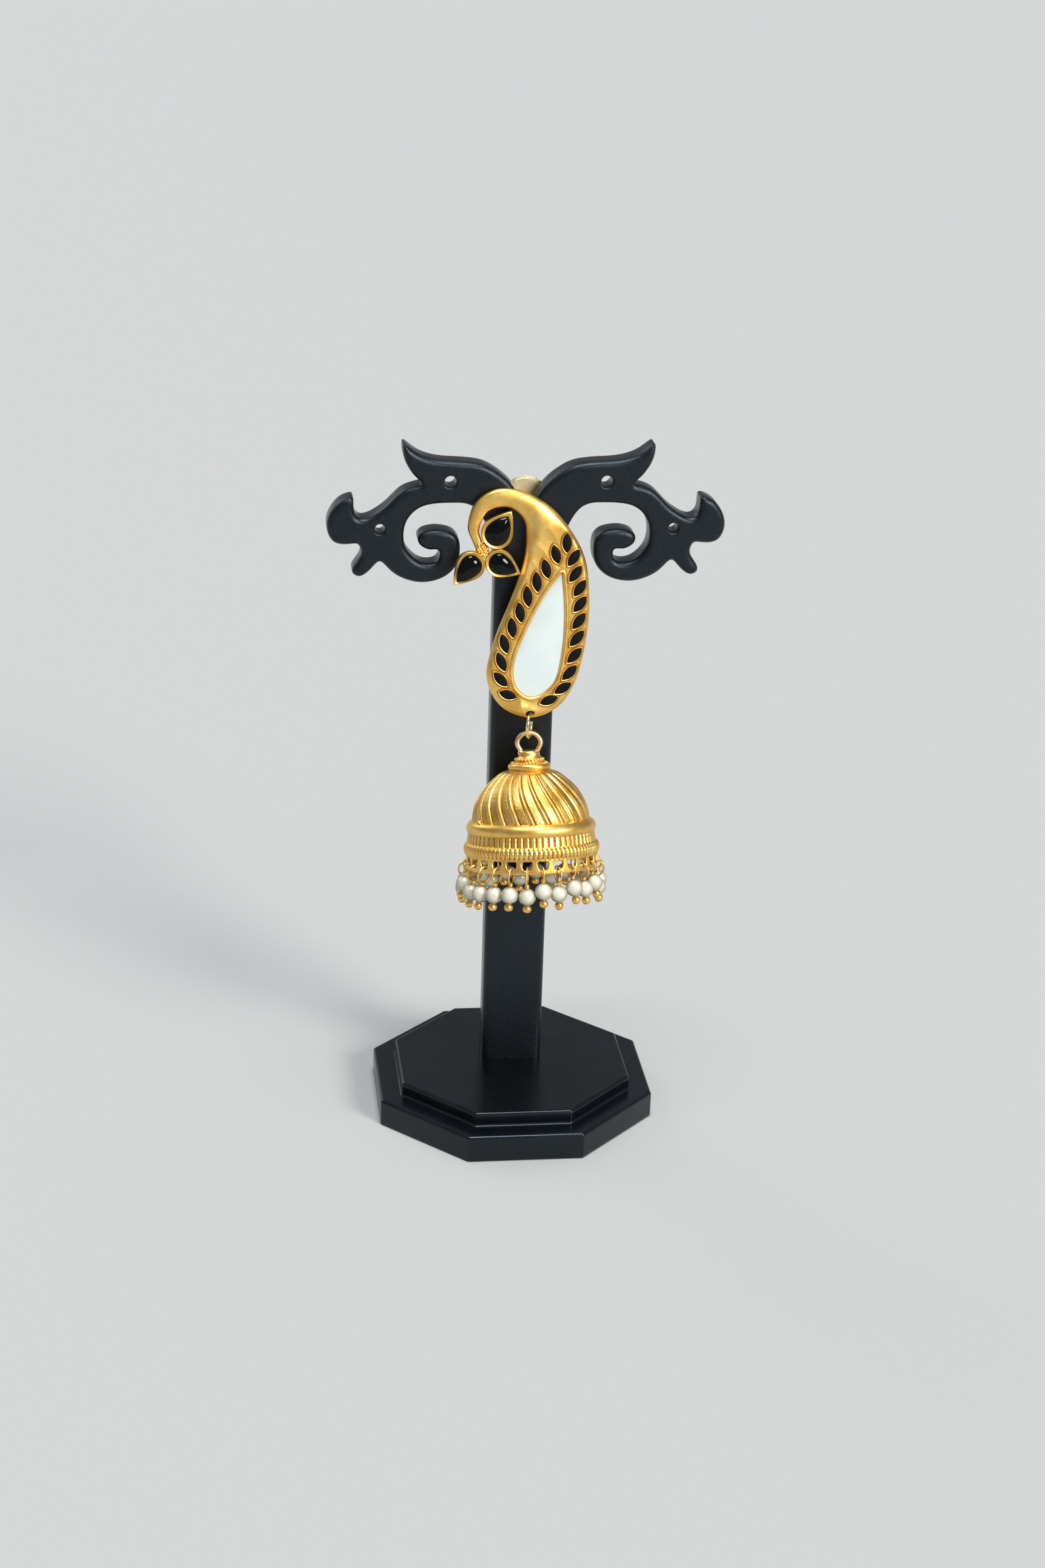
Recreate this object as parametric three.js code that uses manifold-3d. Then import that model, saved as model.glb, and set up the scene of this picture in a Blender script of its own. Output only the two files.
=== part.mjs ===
// Jhumka earring hanging on a small earring tree. Millimetres, +Z up, front towards -Y.
// Origin: middle of the underside of the stand's base.
import * as THREE from 'three';
import { mergeVertices } from 'three/addons/utils/BufferGeometryUtils.js';
import Module from 'manifold-3d';

// ---- Driving dimensions -------------------------------------------------------------------------
const RAD = Math.PI / 180;
const GAP = 0.2; // clearance between pieces that touch on the real object

const BASE = { lowerFlat: 33.2, lowerTop: 6.7, upperFlat: 27.9, top: 10.1, edge: 0.7 };
const PLATE = { front: -0.5, back: 5.6, postHalf: 7.35, tenonFoot: 4.4 };
const TREE_HOLES = [
  { x: 17.9, z: 157.1, radius: 1.4 },
  { x: 33.8, z: 146.1, radius: 1.2 },
];

// The peacock lies in its own plane: u to the right, v up, w out of its face.
const PEACOCK = { x: 0.57, y: -9.48, z: 103.87, tilt: 8.8 * RAD, back: -0.5, front: 0.8 };
const RING_HOLE = { u: 0, v: 0.78, halfWidth: 1.1, halfHeight: 0.82 };
const CURL = { setting: 1.6, stone: 2.2, wall: 0.55 };
const DROPS = [
  { u: -8.0, v: 42.5, radius: 3.4, reach: 5.7, angle: 57.7 * RAD },
  { u: -14.0, v: 35.0, radius: 2.95, reach: 5.6, angle: 230.6 * RAD },
  { u: -7.4, v: 35.6, radius: 2.95, reach: 5.1, angle: -30 * RAD },
];
const GRAIN_BED = { u: -11.2, v: 38.6, radius: 2.3, front: 0.9 };
const SHELL = { floor: 0.1, back: 0.25, front: 0.85, frameWidth: 0.7, frameFront: 1.05 };
const POST = { u: -0.55, v: 49.7, radius: 0.45, tip: -12.5 };
const CLUTCH = { front: -8.35, thickness: 0.8, radius: 5.2, scallops: 20, depth: 0.3 };
const CLUTCH_BARREL = { radius: 1.7, length: 2.4 };

const JUMP_RING = { x: 0.57, y: -9.45, z: 101.57, radius: 2.9, wire: 0.36, turn: -16 * RAD };
const RING_GAP = { from: 2 * RAD, width: 28 * RAD };

const BELL = { x: 0.58, y: -9.8, z: 97.59, lean: 16.36 * RAD, roll: 1.1 * RAD, turn: 2.6 * RAD };
const LOOP = { halfWidth: 2.675, halfHeight: 2.225, wire: 0.575 };
const DANGLES = 26;
const WINDOW = { width: 2.4, top: 26.1, sill: 28.2, wallMiddle: 14.9 };

const PEARL = { radius: 1.95, bore: 0.45 };
const PIN = { wire: 0.22, ball: 0.9, collar: 0.5, collarLength: 0.7 };
const HANG = 6.25; // window sill to pearl centre on the longest dangle
const EYE = 2.12; // radius of the longest dangle's eye, to the middle of its wire
// How much shorter each dangle hangs, in mm, counted from the front one to the right.
const SHORTER = [
  1.4, 0.5, 1.6, 0.9, 1.7, 0.3, 1.5, 0.2, 1.6, 0.2, 1.7, 0.1, 1.7,
  0.0, 1.7, 0.1, 1.7, 0.2, 1.5, 0.3, 1.6, 0.2, 0.3, 0.4, 0.6, 0.1,
];

const FINISH = {
  black: { color: 0x0b0e13, roughness: 0.45, metalness: 0 },
  gold: { color: 0xd9a441, roughness: 0.32, metalness: 1 },
  paleBrass: { color: 0xd8c690, roughness: 0.4, metalness: 1 },
  shell: { color: 0xe6edf7, roughness: 0.25, metalness: 0 },
  pearl: { color: 0xe9e4d2, roughness: 0.2, metalness: 0 },
};

// ---- Solids -------------------------------------------------------------------------------------
const wasm = await Module();
wasm.setup();

// A closed solid of a three.js geometry, with its faces turned out.
function solidOf(geometry) {
  const bare = geometry.clone();
  bare.deleteAttribute('normal');
  bare.deleteAttribute('uv');
  const merged = mergeVertices(bare, 1e-5);
  const corners = [];
  for (let i = 0; i < merged.index.count; i += 3) {
    const [a, b, c] = [0, 1, 2].map((k) => merged.index.getX(i + k));
    if (a !== b && b !== c && c !== a) corners.push(a, b, c);
  }
  const vertProperties = new Float32Array(merged.attributes.position.array);
  if (signedVolume(vertProperties, corners) < 0) corners.reverse();
  return new wasm.Manifold(new wasm.Mesh({ numProp: 3, vertProperties, triVerts: new Uint32Array(corners) }));
}

function signedVolume(places, corners) {
  const point = (i) => new THREE.Vector3().fromArray(places, 3 * i);
  let sum = 0;
  for (let i = 0; i < corners.length; i += 3) {
    const [a, b, c] = corners.slice(i, i + 3).map(point);
    sum += a.dot(b.cross(c));
  }
  return sum;
}

function meshOf(name, solid, finish) {
  const { vertProperties, triVerts } = solid.getMesh();
  const geometry = new THREE.BufferGeometry();
  geometry.setAttribute('position', new THREE.BufferAttribute(new Float32Array(vertProperties), 3));
  geometry.setIndex(new THREE.BufferAttribute(new Uint32Array(triVerts), 1));
  const mesh = new THREE.Mesh(geometry, new THREE.MeshStandardMaterial(finish));
  mesh.name = name;
  return mesh;
}

// A solid of revolution about +Z from [radius, z] pairs; angle 0 is towards -Y.
function turned(profile, segments) {
  const points = profile.map(([radius, z]) => new THREE.Vector2(radius, z));
  return new THREE.LatheGeometry(points, segments).rotateX(Math.PI / 2);
}

// The outline through runs of points: each run is smooth, and a corner is left where two runs meet.
function outline(runs, stepsPerSpan) {
  const points = [];
  for (const run of runs) {
    const curve = new THREE.SplineCurve(run.map(([x, y]) => new THREE.Vector2(x, y)));
    const steps = run.length === 2 ? 1 : stepsPerSpan * (run.length - 1);
    points.push(...curve.getPoints(steps).slice(0, -1));
  }
  return points;
}

function slab(points, low, high) {
  const shape = new THREE.Shape(points);
  const depth = high - low;
  return new THREE.ExtrudeGeometry(shape, { depth, bevelEnabled: false }).translate(0, 0, low);
}

function disc(x, y, radius, low, high, segments = 16) {
  const turnedUp = new THREE.CylinderGeometry(radius, radius, high - low, segments).rotateX(Math.PI / 2);
  return turnedUp.translate(x, y, (low + high) / 2);
}

// ---- Stand --------------------------------------------------------------------------------------
function standBase() {
  const toCorner = 1 / Math.cos(Math.PI / 8);
  const { lowerFlat, lowerTop, upperFlat, top, edge } = BASE;
  const profile = [
    [0, 0],
    [lowerFlat - edge / 2, 0],
    [lowerFlat, edge / 2],
    [lowerFlat, lowerTop - edge],
    [lowerFlat - edge, lowerTop],
    [upperFlat + edge, lowerTop],
    [upperFlat, lowerTop + edge],
    [upperFlat, top - edge],
    [upperFlat - edge, top],
    [0, top],
  ].map(([flat, z]) => [flat * toCorner, z]);
  const octagon = turned(profile, 8).rotateZ(Math.PI / 8);
  const depth = PLATE.back - PLATE.front + 2 * GAP;
  const socketFoot = PLATE.tenonFoot - 0.3;
  const socket = new THREE.BoxGeometry(2 * (PLATE.postHalf + GAP), depth, 20);
  socket.translate(0, (PLATE.front + PLATE.back) / 2, socketFoot + 10);
  return meshOf('stand_base', solidOf(octagon).subtract(solidOf(socket)), FINISH.black);
}

// Right half of the tree's outline, from the notch at the top round to the foot of the post.
const TREE_RUNS = [
  [[0, 150.8], [1.7, 153.2], [3.9, 156.4], [6.6, 158.8], [10.2, 160.9], [14.5, 161.6], [20.5, 162],
    [24.8, 163.2], [28.9, 166.2]], // notch and wing top
  [[28.9, 166.2], [28.6, 162.5], [26.5, 158.7], [23.9, 156.5]], // wing's outer edge
  [[23.9, 156.5], [28.7, 155], [33.1, 150.8], [37.6, 148.3], [39.7, 149.9], [39.7, 153.7]], // arm and hook
  [[39.7, 153.7], [43, 152.5], [45.4, 149.2], [45.9, 146], [44.6, 143.1], [42, 142.3], [38.8, 142.7]],
  [[38.8, 142.7], [37.9, 140], [40.3, 136.2], [38.7, 134.7], [36.6, 135.6], [33.8, 138.8]], // small scroll
  [[33.8, 138.8], [30, 135], [24.5, 133.2], [19, 134.4], [15.7, 138.2], [15.9, 144], [20, 145.8],
    [24.6, 144.7]], // outside of the spiral
  [[24.6, 144.7], [23.4, 142.5], [20.1, 141.4], [20.6, 138.2], [24.4, 138], [28, 141.8], [27.9, 147.4],
    [24.2, 151.2], [17.2, 152], [12.4, 151], [9, 145.5], [7.35, 137]], // inside of the spiral
];

function standTree() {
  const half = outline(TREE_RUNS, 2);
  half.push(new THREE.Vector2(PLATE.postHalf, 137), new THREE.Vector2(PLATE.postHalf, PLATE.tenonFoot));
  const mirrored = half.slice(1).reverse().map((p) => new THREE.Vector2(-p.x, p.y));
  let tree = solidOf(slab([...half, ...mirrored], PLATE.front, PLATE.back));
  for (const { x, z, radius } of TREE_HOLES) {
    for (const side of [-1, 1]) {
      tree = tree.subtract(solidOf(disc(side * x, z, radius, PLATE.front - 1, PLATE.back + 1, 12)));
    }
  }
  const mesh = meshOf('stand_tree', tree, FINISH.black);
  mesh.geometry.rotateX(Math.PI / 2).translate(0, PLATE.front + PLATE.back, 0);
  return mesh;
}

// ---- Peacock top --------------------------------------------------------------------------------
const PEACOCK_RUNS = [
  [[-13.2, 39.4], [-14.7, 44.3], [-13.1, 49.4], [-8.6, 52.5], [-3, 52.3], [3.1, 49.4], [7.8, 44.8],
    [12.2, 37], [13.5, 27.3], [12.9, 18], [10.7, 8.6], [6.8, 2.4], [0, -0.35], [-6.9, 2.6], [-10.1, 9.5],
    [-8.3, 18.2], [-4.7, 27.4], [-2, 35.5], [-1.35, 42], [-2.2, 46], [-5.7, 48.4], [-10.1, 47.4],
    [-12, 43.5], [-11.2, 41]], // round the head, down the back, up the belly and the neck
  [[-11.2, 41], [-13.2, 39.4]],
];
const SHELL_RUNS = [
  [[7, 33.6], [7.7, 24.4], [7.2, 15.1], [5.4, 8.1], [0.6, 4.7], [-3.3, 7.2], [-3.9, 12.8], [-1.1, 20.5],
    [3.3, 28.9], [7, 33.6]],
];

// A drop-shaped outline: a circle with two straight sides that run to a tip.
function dropOutline({ u, v, radius, reach, angle }, inset = 0) {
  const small = radius - inset;
  const tip = reach - inset * (reach / radius);
  const open = Math.acos(small / tip);
  const points = [new THREE.Vector2(u + tip * Math.cos(angle), v + tip * Math.sin(angle))];
  const steps = 16;
  for (let i = 0; i <= steps; i += 1) {
    const turn = angle + open + ((2 * Math.PI - 2 * open) * i) / steps;
    points.push(new THREE.Vector2(u + small * Math.cos(turn), v + small * Math.sin(turn)));
  }
  return points;
}

// The shell's outline, moved out by a margin along its normals.
function shellOutline(margin) {
  const points = outline(SHELL_RUNS, 2);
  return points.map((p, i) => {
    const before = points[(i + points.length - 1) % points.length];
    const after = points[(i + 1) % points.length];
    const along = after.clone().sub(before).normalize();
    return new THREE.Vector2(p.x - along.y * margin, p.y + along.x * margin);
  });
}

function peacock() {
  const { back, front } = PEACOCK;
  let body = solidOf(slab(outline(PEACOCK_RUNS, 2), back, front));
  body = body.add(solidOf(slab(shellOutline(SHELL.frameWidth + GAP / 2), 0, SHELL.frameFront)));
  body = body.subtract(solidOf(slab(shellOutline(GAP / 2), SHELL.floor, 5)));
  for (const drop of DROPS) {
    body = body.add(solidOf(slab(dropOutline(drop), back, CURL.setting)));
    body = body.add(solidOf(slab(dropOutline(drop, CURL.wall), 0, CURL.stone)));
  }
  const { u, v, radius } = GRAIN_BED;
  body = body.add(solidOf(disc(u, v, radius, back, GRAIN_BED.front)));
  body = body.add(solidOf(disc(POST.u, POST.v, POST.radius, POST.tip, 0, 8)));
  const { halfWidth, halfHeight } = RING_HOLE;
  const hole = disc(0, 0, 1, -3, 3, 16).scale(halfWidth, halfHeight, 1).translate(RING_HOLE.u, RING_HOLE.v, 0);
  body = body.subtract(solidOf(hole));
  return meshOf('peacock_top', body, FINISH.gold);
}

function shellInlay() {
  return meshOf('shell_inlay', solidOf(slab(shellOutline(0), SHELL.back, SHELL.front)), FINISH.shell);
}

function clutch() {
  const rim = [];
  const steps = 4 * CLUTCH.scallops;
  for (let i = 0; i < steps; i += 1) {
    const turn = (2 * Math.PI * i) / steps;
    const radius = CLUTCH.radius - CLUTCH.depth * Math.abs(Math.sin((turn * CLUTCH.scallops) / 2));
    rim.push(new THREE.Vector2(radius * Math.cos(turn), radius * Math.sin(turn)));
  }
  const back = CLUTCH.front - CLUTCH.thickness;
  let body = solidOf(slab(rim, back, CLUTCH.front));
  body = body.add(solidOf(disc(0, 0, CLUTCH_BARREL.radius, back - CLUTCH_BARREL.length, back + 0.1, 12)));
  body = body.subtract(solidOf(disc(0, 0, POST.radius + GAP, -20, 0, 12)));
  const mesh = meshOf('clutch', body, FINISH.paleBrass);
  mesh.position.set(POST.u, POST.v, 0);
  return mesh;
}

// ---- Jump ring ----------------------------------------------------------------------------------
class RingArc extends THREE.Curve {
  getPoint(t) {
    const turn = RING_GAP.from + RING_GAP.width + (2 * Math.PI - RING_GAP.width) * t;
    return new THREE.Vector3(0, JUMP_RING.radius * Math.cos(turn), JUMP_RING.radius * Math.sin(turn));
  }
}

function jumpRing() {
  const section = new THREE.Shape();
  section.absarc(0, 0, JUMP_RING.wire, 0, 2 * Math.PI);
  const tube = { steps: 24, curveSegments: 4, extrudePath: new RingArc(), bevelEnabled: false };
  const mesh = meshOf('jump_ring', solidOf(new THREE.ExtrudeGeometry(section, tube)), FINISH.paleBrass);
  mesh.position.set(JUMP_RING.x, JUMP_RING.y, JUMP_RING.z);
  mesh.rotation.z = JUMP_RING.turn;
  return mesh;
}

// ---- Bell ---------------------------------------------------------------------------------------
// Bell profile as [radius, distance below the middle of the hanging loop].
const BELL_OUTSIDE = [
  [0, 2], [2.55, 2], [2.55, 3.6], [3, 3.6], [3, 4.7], [5, 4.7], [5, 6.3], // collar and two flanges
  [6.9, 7.3], [10.3, 10.3], [12.7, 13.7], [13.5, 16.8], [13.2, 18], // dome
  [14.6, 18.3], [15.08, 19.3], [14.6, 20.7], // plain roll
  [14.8, 22.9], [15.8, 24.3], [15.4, 25.8], [15.5, 28.6], [15.2, 29.15], // fluted bands and rim
];
const BELL_INSIDE = [[14.3, 29.15], [14.3, 19.6], [12.5, 17.6], [11.7, 13.8], [9.3, 10.8], [5.5, 7.8], [0, 7.3]];

function bell() {
  const profile = [...BELL_OUTSIDE, ...BELL_INSIDE].map(([radius, below]) => [radius, -below]);
  let body = solidOf(turned(profile, 2 * DANGLES));
  const { halfWidth, halfHeight, wire } = LOOP;
  const mean = (halfWidth + halfHeight) / 2;
  const loop = new THREE.TorusGeometry(mean, wire, 8, 20).rotateX(Math.PI / 2);
  loop.scale(halfWidth / mean, 1, halfHeight / mean).rotateZ(-BELL.turn);
  body = body.add(solidOf(loop));
  const height = WINDOW.sill - WINDOW.top;
  for (let i = 0; i < DANGLES; i += 1) {
    const cutter = new THREE.BoxGeometry(WINDOW.width, 4, height);
    cutter.translate(0, -WINDOW.wallMiddle, -(WINDOW.top + WINDOW.sill) / 2);
    cutter.rotateZ((2 * Math.PI * i) / DANGLES);
    body = body.subtract(solidOf(cutter));
  }
  const mesh = meshOf('bell', body, FINISH.gold);
  mesh.rotation.z = BELL.turn;
  return mesh;
}

function bellFrame() {
  const frame = new THREE.Group();
  frame.position.set(BELL.x, BELL.y, BELL.z);
  frame.rotation.set(-BELL.lean, -BELL.roll, 0);
  frame.updateMatrixWorld();
  return frame;
}

// ---- Pearl dangles ------------------------------------------------------------------------------
// Each dangle hangs from the sill of its window. Eye radius and length follow from how much
// shorter it is than the longest one.
function hangingPoints(frame) {
  return SHORTER.map((shorter, i) => {
    const turn = BELL.turn + (2 * Math.PI * i) / DANGLES;
    const outward = new THREE.Vector3(Math.sin(turn), -Math.cos(turn), 0);
    const sill = outward.clone().multiplyScalar(WINDOW.wallMiddle).setZ(-WINDOW.sill);
    const eye = EYE - shorter / 2;
    return {
      sill: frame.localToWorld(sill),
      outward: outward.transformDirection(frame.matrixWorld),
      eye,
      eyeDrop: Math.sqrt((eye - PIN.wire - 0.12) ** 2 - 0.36) - 0.3,
      length: HANG - shorter,
    };
  });
}

// Lets the pearls settle: each pulls down at its own length and pushes its neighbours and the post away.
function settle(dangles) {
  const apart = 2 * PEARL.radius + 0.12;
  const places = dangles.map(({ sill, outward, length }) => {
    const start = sill.clone().addScaledVector(outward, 1.2);
    return start.setZ(sill.z - length);
  });
  for (let round = 0; round < 600; round += 1) {
    places.forEach((place) => place.setZ(place.z - 0.004));
    for (let i = 0; i < places.length; i += 1) {
      for (const step of [1, 2]) {
        const other = places[(i + step) % places.length];
        const between = other.clone().sub(places[i]);
        const overlap = apart - between.length();
        if (overlap > 0) {
          between.setLength(overlap / 2);
          other.add(between);
          places[i].sub(between);
        }
      }
    }
    places.forEach((place, i) => keepClear(place, dangles[i]));
  }
  return places;
}

// Holds a pearl at its wire's length and keeps it and its eye in front of the post.
function keepClear(place, { sill, outward, eye, eyeDrop, length }) {
  const wire = place.clone().sub(sill).setLength(length);
  const eyeReach = (eye + PIN.wire) * Math.abs(outward.y);
  const eyeLimit = PLATE.front - GAP - eyeReach - sill.y;
  const farthest = Math.min((eyeLimit * length) / eyeDrop, PLATE.front - GAP - PEARL.radius - sill.y);
  if (wire.y > farthest) wire.y = farthest;
  wire.setLength(length);
  place.copy(sill).add(wire);
}

function pearlGeometry() {
  const { radius, bore } = PEARL;
  const open = Math.asin(bore / radius);
  const rows = 6;
  const profile = [];
  for (let i = 0; i <= rows; i += 1) {
    const turn = open + ((Math.PI - 2 * open) * i) / rows;
    profile.push([radius * Math.sin(turn), -radius * Math.cos(turn)]);
  }
  profile.push(profile[0]);
  return solidOf(turned(profile, 8));
}

// The pin along +Z with the pearl's centre at the origin: ball, wire, wrapped collar and eye.
function pinGeometry({ eye, eyeDrop, length }) {
  const { wire, ball, collar, collarLength } = PIN;
  const ballMiddle = -(PEARL.radius + ball + 0.12);
  const collarFoot = PEARL.radius + 0.12;
  const profile = [
    [0, ballMiddle - ball],
    [ball * 0.75, ballMiddle - ball * 0.66],
    [ball, ballMiddle],
    [ball * 0.75, ballMiddle + ball * 0.66],
    [wire, ballMiddle + ball * 0.95],
    [wire, collarFoot],
    [collar, collarFoot],
    [collar, collarFoot + collarLength],
    [0, collarFoot + collarLength],
  ];
  const ring = new THREE.TorusGeometry(eye, wire, 5, 12).rotateY(Math.PI / 2);
  ring.translate(0, 0, length - eyeDrop);
  return solidOf(turned(profile, 6)).add(solidOf(ring));
}

function addDangles(group, frame) {
  const dangles = hangingPoints(frame);
  const places = settle(dangles);
  const pearlSolid = pearlGeometry();
  dangles.forEach((dangle, i) => {
    const up = dangle.sill.clone().sub(places[i]).normalize();
    const side = new THREE.Vector3().crossVectors(dangle.outward, up).normalize();
    const front = new THREE.Vector3().crossVectors(up, side);
    const turn = new THREE.Quaternion().setFromRotationMatrix(new THREE.Matrix4().makeBasis(side, front, up));
    const number = String(i + 1).padStart(2, '0');
    const pieces = [
      meshOf(`pearl_${number}`, pearlSolid, FINISH.pearl),
      meshOf(`headpin_${number}`, pinGeometry(dangle), FINISH.gold),
    ];
    for (const piece of pieces) {
      piece.position.copy(places[i]);
      piece.quaternion.copy(turn);
      group.add(piece);
    }
  });
}

// ---- Assembly -----------------------------------------------------------------------------------
const earring = new THREE.Group();
earring.add(standBase(), standTree());

const peacockFrame = new THREE.Group();
peacockFrame.position.set(PEACOCK.x, PEACOCK.y, PEACOCK.z);
peacockFrame.rotation.x = Math.PI / 2 - PEACOCK.tilt;
peacockFrame.add(peacock(), shellInlay(), clutch());
earring.add(peacockFrame);

earring.add(jumpRing());

const hung = bellFrame();
hung.add(bell());
earring.add(hung);
addDangles(earring, hung);

export default earring;
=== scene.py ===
"""Looks of the jhumka earring on its stand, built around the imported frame.

Lengths are in millimetres until a mesh is made; Blender's own units are metres.
"""
import math
import random

import bmesh
import bpy
import numpy as np
from mathutils import Matrix, Vector
from mathutils.geometry import delaunay_2d_cdt


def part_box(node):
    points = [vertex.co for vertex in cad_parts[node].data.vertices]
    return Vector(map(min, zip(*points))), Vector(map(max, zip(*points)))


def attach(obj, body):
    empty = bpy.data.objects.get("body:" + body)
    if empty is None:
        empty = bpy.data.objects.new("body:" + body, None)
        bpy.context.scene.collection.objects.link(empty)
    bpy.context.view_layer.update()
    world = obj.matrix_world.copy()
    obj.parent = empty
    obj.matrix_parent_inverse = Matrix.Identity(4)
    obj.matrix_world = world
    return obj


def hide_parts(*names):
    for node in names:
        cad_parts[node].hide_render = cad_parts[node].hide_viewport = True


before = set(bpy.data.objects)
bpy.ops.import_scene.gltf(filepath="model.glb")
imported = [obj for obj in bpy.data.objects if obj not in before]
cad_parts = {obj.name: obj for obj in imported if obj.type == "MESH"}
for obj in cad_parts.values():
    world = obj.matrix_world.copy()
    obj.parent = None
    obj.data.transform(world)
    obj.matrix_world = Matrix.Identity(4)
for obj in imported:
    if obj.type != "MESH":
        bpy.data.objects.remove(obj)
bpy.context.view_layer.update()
MM = 0.001
RAD = math.pi / 180
TAU = 2 * math.pi


# ---- Frames of the parts ----
def turned_frame(origin, matrix):
    """A function that takes local millimetres to the object's frame, in millimetres."""
    matrix = np.array(matrix)
    origin = np.array(origin)
    return lambda points: np.asarray(points, float) @ matrix.T + origin


PEACOCK_TILT = 8.8 * RAD
PEACOCK_AXES = [
    [1, 0, 0],
    [0, math.sin(PEACOCK_TILT), -math.cos(PEACOCK_TILT)],
    [0, math.cos(PEACOCK_TILT), math.sin(PEACOCK_TILT)],
]
in_peacock = turned_frame((0.57, -9.48, 103.87), PEACOCK_AXES)
in_tree = turned_frame((0, 0, 0), [[1, 0, 0], [0, 0, -1], [0, 1, 0]])
BELL_AXES = Matrix.Rotation(-16.36 * RAD, 3, "X") @ Matrix.Rotation(-1.1 * RAD, 3, "Y")
in_bell = turned_frame((0.58, -9.8, 97.59), BELL_AXES)
BELL_TURN = 2.6 * RAD


# ---- Mesh building ----
def volume(points, faces):
    """Six times the signed volume of a shell of triangles and quads; positive when it faces outward."""
    total = 0.0
    for size in (3, 4):
        group = np.array([face for face in faces if len(face) == size], int).reshape(-1, size)
        corner = points[group]
        for i in range(1, size - 1):
            total += (corner[:, 0] * np.cross(corner[:, i], corner[:, i + 1])).sum()
    return total


class Build:
    """Collects shells into one mesh, each turned to face outward.

    Every point carries a wear value (0 in a hollow, 1 on a raised place) and a stipple value; in the gold, a
    low value paints shade and patina into the colour.
    """

    def __init__(self):
        self.points, self.faces, self.wear, self.stipple = [], [], [], []
        self.count = 0

    def add(self, points, faces, wear=1.0, stipple=0.3):
        points = np.asarray(points, float).reshape(-1, 3)
        if volume(points, faces) < 0:
            faces = [face[::-1] for face in faces]
        self.points.append(points)
        self.faces.extend([[i + self.count for i in face] for face in faces])
        self.wear.append(np.broadcast_to(wear, len(points)))
        self.stipple.append(np.broadcast_to(stipple, len(points)))
        self.count += len(points)

    def place(self, move, made, **values):
        """Adds made points and faces, moved to where they belong."""
        points, faces = made
        self.add(move(points), faces, **values)

    def piece(self, name, body, slot, material, replaces=(), sharp=40):
        mesh = bpy.data.meshes.new(name)
        mesh.from_pydata((np.concatenate(self.points) * MM).tolist(), [], self.faces)
        for layer_name, values in (("wear", self.wear), ("stipple", self.stipple)):
            layer = mesh.attributes.new(layer_name, "FLOAT", "POINT")
            layer.data.foreach_set("value", np.concatenate(values).astype(np.float32))
        mesh.shade_smooth()
        mesh.set_sharp_from_angle(angle=sharp * RAD)
        mesh.materials.append(material)
        piece = bpy.data.objects.new(mesh.name, mesh)
        bpy.context.scene.collection.objects.link(piece)
        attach(piece, body)
        if replaces:
            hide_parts(*replaces)
        return piece


def grid_faces(rows, columns, closed_rows=False):
    """Quads of a grid whose columns close on themselves, and whose rows may too."""
    faces = []
    for i in range(rows if closed_rows else rows - 1):
        below = (i + 1) % rows
        for j in range(columns):
            k = (j + 1) % columns
            faces.append([i * columns + j, i * columns + k, below * columns + k, below * columns + j])
    return faces


def capped(grid):
    """Points and faces of a tube-like grid (rows, columns, 3) closed by a fan at each end."""
    rows, columns = grid.shape[:2]
    points = np.concatenate([grid.reshape(-1, 3), grid[:1].mean(1), grid[-1:].mean(1)])
    faces = grid_faces(rows, columns)
    first, last = rows * columns, rows * columns + 1
    foot = (rows - 1) * columns
    for j in range(columns):
        k = (j + 1) % columns
        faces += [[first, k, j], [last, foot + j, foot + k]]
    return points, faces


def revolve(profile, columns, closed=False):
    """A solid of revolution about +Z from [radius, z] pairs; its angle 0 is towards -Y."""
    turn = np.arange(columns) * TAU / columns
    grid = np.array([[(r * math.sin(t), -r * math.cos(t), z) for t in turn] for r, z in profile])
    if closed:
        return grid.reshape(-1, 3), grid_faces(len(profile), columns, closed_rows=True)
    return capped(grid)


def tube(path, radius, sides, closed=False):
    """A round tube along a path, with its sections carried along without twist."""
    path = np.asarray(path, float)
    radius = np.broadcast_to(radius, len(path))
    ahead = np.roll(path, -1, 0) - np.roll(path, 1, 0)
    if not closed:
        ahead[0], ahead[-1] = path[1] - path[0], path[-1] - path[-2]
    ahead /= np.linalg.norm(ahead, axis=1)[:, None]
    side = np.cross(ahead[0], [0.13, 0.37, 0.92])
    rows = []
    for point, along, size in zip(path, ahead, radius):
        side = side - along * (side @ along)
        side /= np.linalg.norm(side)
        other = np.cross(along, side)
        turns = np.arange(sides) * TAU / sides
        rows.append([point + size * (math.cos(t) * side + math.sin(t) * other) for t in turns])
    grid = np.array(rows)
    if closed:
        return grid.reshape(-1, 3), grid_faces(len(path), sides, closed_rows=True)
    return capped(grid)


def ball(middle, radius, rows=10, columns=16):
    """A sphere whose poles lie along Z."""
    turns = [math.pi * i / rows for i in range(1, rows)]
    points, faces = revolve([(math.sin(t) * radius, -math.cos(t) * radius) for t in turns], columns)
    points[-2] = (0, 0, -radius)
    points[-1] = (0, 0, radius)
    return points + np.array(middle), faces


# ---- Outlines ----
def smooth_run(points, steps):
    """Points along a uniform Catmull-Rom curve through a run, without its last point."""
    p = np.array(points, float)
    if len(p) == 2:
        return p[:1]
    found = []
    for i in range(len(p) - 1):
        before, a, b, after = p[max(i - 1, 0)], p[i], p[i + 1], p[min(i + 2, len(p) - 1)]
        v0, v1 = (b - before) / 2, (after - a) / 2
        for s in range(steps):
            t = s / steps
            found.append((2 * a - 2 * b + v0 + v1) * t**3 + (3 * b - 3 * a - 2 * v0 - v1) * t**2 + v0 * t + a)
    return np.array(found)


def outline(runs, steps):
    return np.concatenate([smooth_run(run, steps) for run in runs])


def resampled(loop, step):
    """The closed loop with its long edges cut to about one step."""
    found = []
    for a, b in zip(loop, np.roll(loop, -1, 0)):
        count = max(1, round(np.linalg.norm(b - a) / step))
        found += [a + (b - a) * k / count for k in range(count)]
    return np.array(found)


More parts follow.
